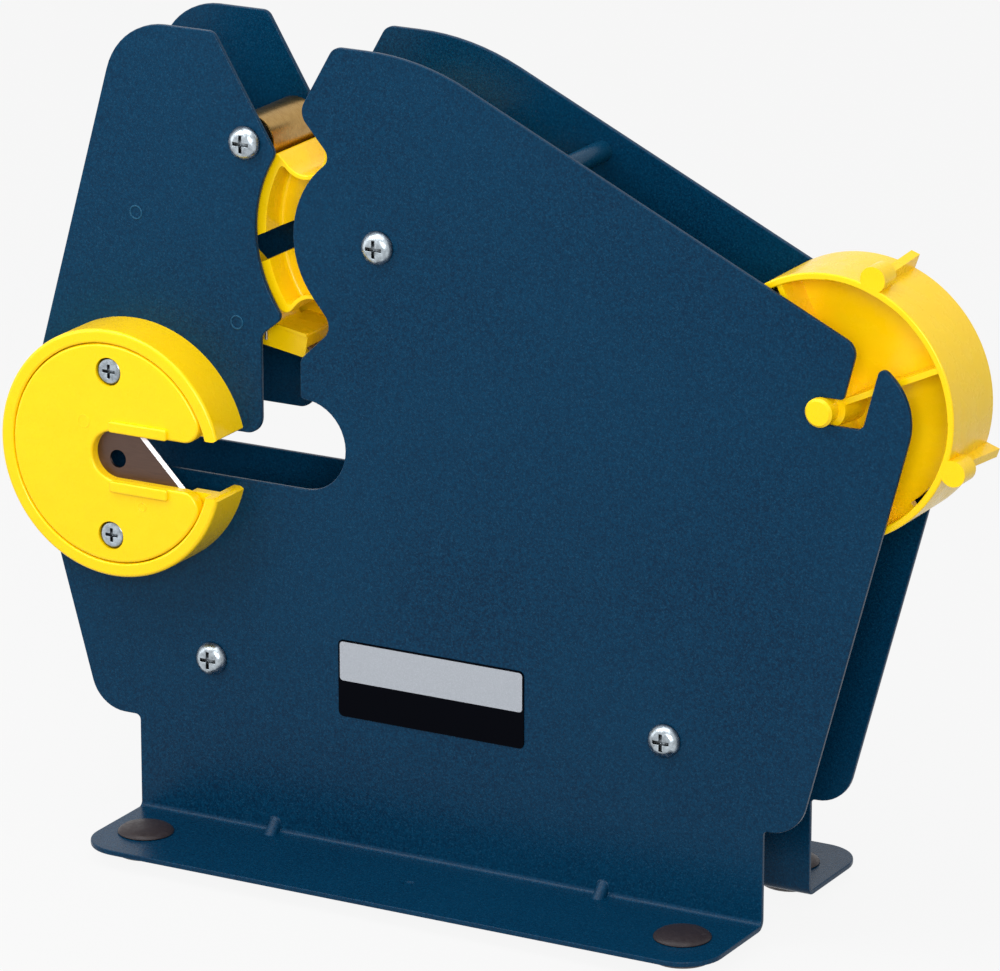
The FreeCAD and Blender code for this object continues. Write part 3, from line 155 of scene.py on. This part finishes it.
def scaled(color, factor):
    """A colour made darker or paler, up to white."""
    return tuple(min(1.0, factor * part) for part in color)


# --- finishes -------------------------------------------------------------------------------

# Each paint is its deep shade, its pale shade and its flecks.
PLATE_PAINT = ((0.0003, 0.0155, 0.042), (0.0007, 0.0365, 0.086), (0.010, 0.062, 0.125))
ROD_PAINT = ((0.0004, 0.030, 0.070), (0.002, 0.042, 0.092), (0.02, 0.08, 0.14))
# The rim paint is paler than the plate paint, as a painted highlight on the pins' raised rims.
RIM_HIGHLIGHT_PAINT = ((0.004, 0.045, 0.10), (0.01, 0.075, 0.14), (0.05, 0.14, 0.22))
YELLOW, YELLOW_STREAK = (0.98, 0.63, 0.001), (0.98, 0.67, 0.002)
# The second zinc colour is painted shade for the creases and recesses of zinc pieces.
ZINC, ZINC_PAINTED_SHADE = (0.52, 0.59, 0.645), (0.07, 0.075, 0.08)
BRASS, BRASS_STAIN = (0.43, 0.265, 0.085), (0.36, 0.21, 0.06)
# The blade steel is darker than bare steel, partly as painted shade of the trim blade's slot.
SHADED_BLADE_STEEL, BEVEL_STEEL = (0.13, 0.085, 0.07), (0.52, 0.50, 0.51)
WIRE_STEEL = (0.45, 0.45, 0.47)
RUBBER, RUBBER_DUST = (0.022, 0.016, 0.018), (0.075, 0.066, 0.068)
BUSH_BLACK = (0.012, 0.012, 0.013)
LABEL_BLACK, LABEL_SILVER = (0.0012, 0.0015, 0.003), (0.38, 0.404, 0.442)


def powder_coat(name, deep, pale, fleck):
    """Fine-textured paint: two close shades, sparse pale flecks and a pebbled relief."""
    made = Finish(name, deep, 0.28, specular=0.12)
    broad = made.spread(made.noise(60 * MM, 2), 0.35, 0.65, 0.0, 0.35)
    grain = made.spread(made.noise(0.65 * MM, 3, 0.6), 0.36, 0.68)
    mixed = made.blend(grain, deep, pale)
    mixed = made.blend(broad, mixed, pale)
    spots = made.spread(made.noise(0.42 * MM, 1, 0.5), 0.58, 0.74, 0.0, 0.6)
    made.color(made.blend(spots, mixed, fleck))
    made.roughness(made.spread(made.noise(0.8 * MM, 2), 0.3, 0.7, 0.24, 0.33))
    made.bump(made.noise(0.7 * MM, 3, 0.6), 0.06 * MM, 0.9)
    return made.material


def moulded_plastic(name, color, streak):
    """Glossy moulding: faint flow streaks, uneven gloss and a soft uneven skin."""
    made = Finish(name, color, 0.26, specular=0.35)
    streaks = made.noise(12 * MM, 2, 0.5, made.stretched((1.0, 0.5, 2.0)))
    made.color(made.blend(made.spread(streaks, 0.42, 0.72, 0.0, 0.5), color, streak))
    made.roughness(made.spread(made.noise(5 * MM, 4, 0.6), 0.3, 0.7, 0.20, 0.36))
    made.bump(made.noise(2.2 * MM, 2), 0.03 * MM, 0.5)
    made.bump(made.noise(0.3 * MM, 2), 0.004 * MM, 0.3)
    return made.material


def plated_steel(name):
    """Bright zinc: cloudy plating, fine scuffs and painted shade in its recesses."""
    made = Finish(name, ZINC, 0.26, metallic=1.0)
    cloud = made.spread(made.noise(1.6 * MM, 4, 0.6), 0.35, 0.7)
    plated = made.blend(cloud, ZINC, scaled(ZINC, 0.5))
    # Painted shade: the zinc turns to its dark colour where ambient occlusion finds creases
    # and recesses.
    unshaded_share = made.spread(made.hollows(1.2 * MM), 0.45, 1.0)
    made.color(made.blend(unshaded_share, ZINC_PAINTED_SHADE, plated))
    made.roughness(made.spread(made.noise(0.9 * MM, 3), 0.3, 0.7, 0.18, 0.40))
    made.bump(made.noise(0.5 * MM, 3), 0.02 * MM, 0.6)
    return made.material


def turned_brass(name):
    """Brass with turning lines round its axis and a worn warm tint."""
    made = Finish(name, BRASS, 0.30, metallic=1.0)
    lines = made.noise(0.35 * MM, 2, 0.6, made.stretched((0.02, 1.0, 0.02)))
    stain = made.spread(made.noise(1.5 * MM, 3, 0.6), 0.4, 0.7)
    made.color(made.blend(stain, BRASS, BRASS_STAIN))
    made.roughness(made.spread(lines, 0.3, 0.7, 0.25, 0.31))
    made.bump(lines, 0.003 * MM, 0.4)
    return made.material


def ground_steel(name, color, roughness, grain):
    """Steel with fine lines, which are long along the axes where the grain is small."""
    made = Finish(name, color, roughness, metallic=1.0)
    lines = made.noise(0.22 * MM, 3, 0.6, made.stretched(grain))
    flat = made.blend(made.spread(lines, 0.3, 0.7), scaled(color, 0.8), color)
    made.color(made.blend(made.slant(), flat, BEVEL_STEEL))
    made.roughness(made.spread(lines, 0.3, 0.7, roughness - 0.05, roughness + 0.12))
    made.bump(lines, 0.008 * MM, 0.6)
    return made.material


def soft_rubber(name):
    """Dark brown-black rubber with a satin skin, dust and a slight pebble."""
    made = Finish(name, RUBBER, 0.42, specular=0.25)
    dust = made.spread(made.noise(2.5 * MM, 5, 0.65), 0.5, 0.8, 0.0, 0.2)
    made.color(made.blend(dust, RUBBER, RUBBER_DUST))
    made.roughness(made.spread(made.noise(1.2 * MM, 3), 0.3, 0.7, 0.34, 0.55))
    made.bump(made.noise(0.5 * MM, 2), 0.02 * MM, 0.6)
    return made.material


def matt_bush(name):
    """Black bearing plastic with a fine matt skin."""
    made = Finish(name, BUSH_BLACK, 0.55)
    made.bump(made.noise(0.4 * MM, 2), 0.02 * MM)
    return made.material


def printed_film(name, color, roughness, metallic=0.0):
    """A sticker's film: fine sparkle and a slight waviness."""
    made = Finish(name, color, roughness, metallic=metallic, specular=0.02)
    sparkle = made.spread(made.noise(0.18 * MM, 1), 0.45, 0.75)
    made.color(made.blend(sparkle, color, scaled(color, 1.25)))
    made.bump(made.noise(7 * MM, 2), 0.05 * MM, 0.4)
    return made.material


def dress_nodes():
    """Each CAD node keeps its mesh and gets its finish, with its cut edges eased."""
    paint = powder_coat("plate_paint", *PLATE_PAINT)
    rod = powder_coat("rod_paint", *ROD_PAINT)
    yellow = moulded_plastic("yellow_plastic", YELLOW, YELLOW_STREAK)
    zinc = plated_steel("bright_steel")
    brass = turned_brass("roller_brass")
    bush = matt_bush("bush_plastic")
    blade = ground_steel("blade_steel", SHADED_BLADE_STEEL, 0.36, (0.05, 1.0, 1.0))
    wire = ground_steel("spring_steel", WIRE_STEEL, 0.30, (0.3, 0.3, 0.3))
    rubber = soft_rubber("foot_rubber")
    looks = {       # the finish, and the width in millimetres by which edges are eased
        ("front_plate", "rear_plate"): (paint, 0.30),
        ("lever_pin", "stop_pin"): (paint, 0.0),
        ("tape_guide_rod",): (rod, 0.3),
        ("trim_guard", "trim_guard_cover", "star_wheel", "tape_drum", "knife_lever"):
            (yellow, 0.0),
        ("plate_screws", "guard_screws", "guide_rod_screw"): (zinc, 0.12),
        ("lock_nuts", "guard_nuts"): (zinc, 0.15),
        ("lower_left_spacer", "lower_right_spacer"): (zinc, 0.2),
        ("roller_axle_tube", "wheel_axle_tube"): (zinc, 0.2),
        ("brass_roller",): (brass, 0.15),
        ("roller_bushes",): (bush, 0.2),
        ("trim_blade", "tape_knife"): (blade, 0.0),
        ("lever_spring",): (wire, 0.0),
        ("foot_front_left", "foot_front_right", "foot_rear_left", "foot_rear_right"):
            (rubber, 0.3),
    }
    for names, (material, easing) in looks.items():
        for name in names:
            for slot in NODES[name].material_slots:
                slot.material = material
            if easing:
                ease_edges(NODES[name], easing * MM)


WELD_REACH = 0.002 * MM
FLAT_TURN = math.radians(0.4)       # faces that turn by less are made one
SHARP_TURN = math.radians(38)       # edges that turn by more are eased
EASE_SEGMENTS = 2
FACE_WEIGHT = 100


def ease_edges(piece, width):
    """Round a piece's sharp edges without touching its mesh."""
    weld = piece.modifiers.new("Weld", "WELD")
    weld.merge_threshold = WELD_REACH
    flat = piece.modifiers.new("Flat faces", "DECIMATE")
    flat.decimate_type = "DISSOLVE"
    flat.angle_limit = FLAT_TURN
    bevel = piece.modifiers.new("Edges", "BEVEL")
    bevel.width = width
    bevel.segments = EASE_SEGMENTS
    bevel.limit_method = "ANGLE"
    bevel.angle_limit = SHARP_TURN
    bevel.use_clamp_overlap = False
    bevel.miter_outer = "MITER_ARC"
    shade = piece.modifiers.new("Shading", "WEIGHTED_NORMAL")
    shade.weight = FACE_WEIGHT
    shade.keep_sharp = False


# --- small pieces ---------------------------------------------------------------------------

SAME_PLACE = 1e-7
CORNER_STEPS = 8
RING_STEPS = 32
WIRE_SIDES = 8


def kept_mesh(name, shape):
    """The mesh of a finished bmesh shape, which is freed."""
    mesh = bpy.data.meshes.new(name)
    shape.to_mesh(mesh)
    shape.free()
    return mesh


def finished(name, mesh, material, body):
    """A piece of the given body, in the scene and with its material."""
    piece = bpy.data.objects.new(name, mesh)
    bpy.context.scene.collection.objects.link(piece)
    piece.data.materials.append(material)
    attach(piece, body)


def upright(name, outline, back, thick, easing):
    """A flat piece with an outline in X and Z, its back at the given Y and its front eased."""
    shape = bmesh.new()
    face = shape.faces.new([shape.verts.new((px, back - thick, pz)) for px, pz in outline])
    made = bmesh.ops.extrude_face_region(shape, geom=[face])
    moved = [item for item in made["geom"] if isinstance(item, bmesh.types.BMVert)]
    bmesh.ops.translate(shape, verts=moved, vec=(0, thick, 0))
    bmesh.ops.recalc_face_normals(shape, faces=shape.faces)
    rim = [edge for edge in shape.edges
           if all(abs(vert.co.y - (back - thick)) < SAME_PLACE for vert in edge.verts)]
    bmesh.ops.bevel(shape, geom=rim, offset=easing, segments=EASE_SEGMENTS, affect="EDGES")
    return kept_mesh(name, shape)


def slab(name, x, z, back, thick, corner, easing):
    """A thin upright plate with rounded corners."""
    outline = []
    centres = ((x[1] - corner, z[1] - corner), (x[0] + corner, z[1] - corner),
               (x[0] + corner, z[0] + corner), (x[1] - corner, z[0] + corner))
    for quarter, centre in enumerate(centres):
        for step in range(CORNER_STEPS + 1):
            turn = math.radians(90 * quarter + 90 * step / CORNER_STEPS)
            outline.append((centre[0] + corner * math.cos(turn),
                            centre[1] + corner * math.sin(turn)))
    return upright(name, outline, back, thick, easing)


def ring(shape, centre, radius, wire):
    """A round wire bent to a ring that stands upright and looks along Y."""
    middle = Vector(centre)
    rows = []
    for turn in (2 * math.pi * step / RING_STEPS for step in range(RING_STEPS)):
        outwards = Vector((math.cos(turn), 0, math.sin(turn)))
        rows.append([shape.verts.new(middle + outwards * (radius + wire * math.cos(bend))
                                     + Vector((0, wire * math.sin(bend), 0)))
                     for bend in (2 * math.pi * side / WIRE_SIDES
                                  for side in range(WIRE_SIDES))])
    for row, after in zip(rows, rows[1:] + rows[:1]):
        for side in range(WIRE_SIDES):
            far = (side + 1) % WIRE_SIDES
            face = shape.faces.new((row[side], row[far], after[far], after[side]))
            face.smooth = True


def rings(name, places, material):
    """One piece of the frame body, made of rings that are each a centre, radius and wire."""
    shape = bmesh.new()
    for centre, radius, wire in places:
        ring(shape, centre, radius, wire)
    bmesh.ops.recalc_face_normals(shape, faces=shape.faces)
    finished(name, kept_mesh(name, shape), material, "frame")


FRONT_FACE = -15.3 * MM         # the front plate's outer face; the rear one mirrors it

LABEL_X = (-42.8 * MM, 16.3 * MM)
LABEL_Z = (44.4 * MM, 67.0 * MM)
LABEL_THICK = 0.25 * MM
LABEL_CORNER = 1.6 * MM
LABEL_BORDER = 0.55 * MM
LABEL_EASING = 0.08 * MM
BAND_SHARE = 0.53               # of the label's height, measured from its top
BAND_THICK = 0.05 * MM
BAND_EASING = 0.02 * MM


def bare_label():
    """The two-tone plate on the front, with nothing printed on it."""
    black = printed_film("label_black", LABEL_BLACK, 0.32)
    silver = printed_film("label_silver", LABEL_SILVER, 0.36, 0.25)
    outer = slab("label_plate", LABEL_X, LABEL_Z, FRONT_FACE, LABEL_THICK, LABEL_CORNER,
                 LABEL_EASING)
    finished("label_plate", outer, black, "frame")
    low = LABEL_Z[1] - BAND_SHARE * (LABEL_Z[1] - LABEL_Z[0])
    band = slab("label_band", (LABEL_X[0] + LABEL_BORDER, LABEL_X[1] - LABEL_BORDER),
                (low, LABEL_Z[1] - LABEL_BORDER), FRONT_FACE - LABEL_THICK, BAND_THICK,
                LABEL_CORNER - LABEL_BORDER, BAND_EASING)
    finished("label_band", band, silver, "frame")


LEVER_PIVOT = (-74.6 * MM, 154.4 * MM)      # X and Z, as for the stop pin
STOP_PIN = (-107.0 * MM, 181.8 * MM)
RIM_RADIUS = 1.85 * MM
RIM_WIRE = 0.28 * MM


def pin_rims():
    """The rim that riveting leaves round each painted pin, on both plates, in a paler paint
    that is a painted highlight.
    """
    highlight_paint = powder_coat("rim_paint", *RIM_HIGHLIGHT_PAINT)
    rings("pin_rims", [((x, y, z), RIM_RADIUS, RIM_WIRE)
                       for x, z in (LEVER_PIVOT, STOP_PIN)
                       for y in (FRONT_FACE, -FRONT_FACE)], highlight_paint)


# Each mark's X, Z and radius.
MARKS = ((-116.2 * MM, 123.6 * MM, 1.8 * MM), (-97.4 * MM, 101.2 * MM, 1.2 * MM))
MARK_WIRE = 0.14 * MM
BAR_HEIGHT = 1.1 * MM           # the cover's raised bars stand this far in front of its face


def mould_marks():
    """The faint round marks of the mould on the guard's cover."""
    cover = NODES["trim_guard_cover"]
    face = min(corner[1] for corner in cover.bound_box) + BAR_HEIGHT
    rings("mould_marks", [((x, face, z), radius, MARK_WIRE) for x, z, radius in MARKS],
          cover.material_slots[0].material)


WHEEL_X, WHEEL_Z = -29.3 * MM, 181.8 * MM
WHEEL_CLEAR = 41.4 * MM         # the star wheel's radius and a gap
CHEEK_X = (2.7 * MM, 16.5 * MM)     # measured from the lever's pivot, as CHEEK_Z is
CHEEK_Z = (-4.1 * MM, 3.0 * MM)
CHEEK_BACK = 12.6 * MM
CHEEK_THICK = 2.0 * MM
CHEEK_EASING = 0.4 * MM
CHEEK_STEPS = 10


def nose_cheek():
    """The raised rear side of the lever's nose, hollowed to clear the star wheel."""
    pivot_x, pivot_z = LEVER_PIVOT
    low, high = (pivot_z + height for height in CHEEK_Z)
    outline = [(pivot_x + CHEEK_X[0], high), (pivot_x + CHEEK_X[0], low)]
    for step in range(CHEEK_STEPS + 1):
        z = low + (high - low) * step / CHEEK_STEPS
        x = WHEEL_X - math.sqrt(WHEEL_CLEAR ** 2 - (WHEEL_Z - z) ** 2)
        outline.append((min(x, pivot_x + CHEEK_X[1]), z))
    mesh = upright("nose_cheek", outline, CHEEK_BACK, CHEEK_THICK, CHEEK_EASING)
    finished("nose_cheek", mesh, NODES["knife_lever"].material_slots[0].material, "lever")


# --- camera, lights and floor ---------------------------------------------------------------

AZIMUTH = 28.83                 # degrees, from the front towards the object's right
ELEVATION = 17.34
DISTANCE = 1.8082
AIM = Vector((0.0, 0.0, 0.11402))
SIDE_STEP = 0.22 * MM
SENSOR = 36.0                   # millimetres, as the lens is
LENS = 235.94
CLIP_END = 100

# Each lamp's azimuth, elevation, distance from the aim, width and height, and watts.
LAMPS = {
    "key": (-46, 44, 0.55, (0.3, 0.3), 1.1),
    "top": (10, 76, 1.1, (0.9, 0.8), 5.5),
    "side": (-62, 12, 0.75, (0.35, 0.5), 0.8),
    "fill": (30, 20, 1.7, (0.9, 0.6), 18.0),
}
WORLD_TINT, WORLD_LEVEL = (0.97, 0.985, 1.0), 0.42
WHITE = (1, 1, 1)

FLOOR_RADIUS = 14.0
FLOOR_SIDES = 96
FLOOR_MIDDLE = (0.36, 0.36, 0.36)
FLOOR_DARK, FLOOR_PALE = (0.35, 0.35, 0.355), (0.37, 0.37, 0.37)
FLOOR_MOTTLE = 0.35             # metres
FLOOR_GLOW = 0.9                # the share of white where the floor or its image is seen


def direction(azimuth, elevation):
    """From the object outwards: azimuth 0 is in front of it and 90 is at its right."""
    turn, lift = math.radians(azimuth), math.radians(elevation)
    return Vector((math.sin(turn) * math.cos(lift), -math.cos(turn) * math.cos(lift),
                   math.sin(lift)))


def looking_in(name, data, outwards, location):
    """A camera or lamp that looks back along the given direction."""
    holder = bpy.data.objects.new(name, data)
    holder.location = location
    holder.rotation_mode = "QUATERNION"
    holder.rotation_quaternion = outwards.to_track_quat("Z", "Y")
    bpy.context.scene.collection.objects.link(holder)
    return holder


def add_camera():
    view = bpy.data.cameras.new("camera")
    view.lens = LENS
    view.sensor_width = SENSOR
    view.sensor_fit = "HORIZONTAL"
    view.clip_end = CLIP_END
    back = direction(AZIMUTH, ELEVATION)
    side = Vector((math.cos(math.radians(AZIMUTH)), math.sin(math.radians(AZIMUTH)), 0))
    bpy.context.scene.camera = looking_in("camera", view, back,
                                          AIM + back * DISTANCE + side * SIDE_STEP)


def add_lamp(name, azimuth, elevation, distance, size, power):
    lamp = bpy.data.lights.new(name, "AREA")
    lamp.shape = "RECTANGLE"
    lamp.size, lamp.size_y = size
    lamp.energy = power
    out = direction(azimuth, elevation)
    looking_in(name, lamp, out, AIM + out * distance)


def seen_rays(tree):
    """1 for what the camera sees, also in mirror images and through glass, and else 0."""
    path = tree.nodes.new("ShaderNodeLightPath")
    seen = path.outputs["Is Camera Ray"]
    for kind in ("Is Glossy Ray", "Is Transmission Ray"):
        either = tree.nodes.new("ShaderNodeMath")
        either.operation = "MAXIMUM"
        tree.links.new(seen, either.inputs[0])
        tree.links.new(path.outputs[kind], either.inputs[1])
        seen = either.outputs[0]
    return seen


def mixed_shader(tree, share, first, second, output):
    """The tree's output, from the first shader to the second by a share."""
    both = tree.nodes.new("ShaderNodeMixShader")
    for socket, source in zip(both.inputs, (share, first.outputs[0], second.outputs[0])):
        tree.links.new(source, socket)
    tree.links.new(both.outputs[0], output.inputs["Surface"])


def add_world():
    """White where it is seen, also in mirror images, and grey as the light on the object."""
    world = bpy.data.worlds.new("studio")
    bpy.context.scene.world = world
    world.use_nodes = True
    tree = world.node_tree
    tree.nodes.clear()
    soft, white = (tree.nodes.new("ShaderNodeBackground") for _ in range(2))
    soft.inputs["Color"].default_value = (*WORLD_TINT, 1)
    soft.inputs["Strength"].default_value = WORLD_LEVEL
    white.inputs["Color"].default_value = (*WHITE, 1)
    mixed_shader(tree, seen_rays(tree), soft, white, tree.nodes.new("ShaderNodeOutputWorld"))


def add_floor():
    """A pale floor with the object's shadow, near white where it or its image is seen."""
    shape = bmesh.new()
    bmesh.ops.create_circle(shape, cap_ends=True, segments=FLOOR_SIDES, radius=FLOOR_RADIUS)
    mesh = kept_mesh("floor", shape)
    floor = bpy.data.objects.new("floor", mesh)
    bpy.context.scene.collection.objects.link(floor)
    pale = Finish("floor_pale", FLOOR_MIDDLE, 0.9, specular=0.1)
    mottle = pale.spread(pale.noise(FLOOR_MOTTLE, 3), 0.3, 0.7)
    pale.color(pale.blend(mottle, FLOOR_DARK, FLOOR_PALE))
    mixed_shader(pale.tree, pale.product(seen_rays(pale.tree), FLOOR_GLOW), pale.shader,
                 pale.node("ShaderNodeEmission"), pale.tree.nodes["Material Output"])
    mesh.materials.append(pale.material)


def main():
    dress_nodes()
    bare_label()
    pin_rims()
    mould_marks()
    nose_cheek()
    add_camera()
    add_world()
    for name, settings in LAMPS.items():
        add_lamp(name, *settings)
    add_floor()
    bpy.context.scene.view_settings.view_transform = "Standard"


main()
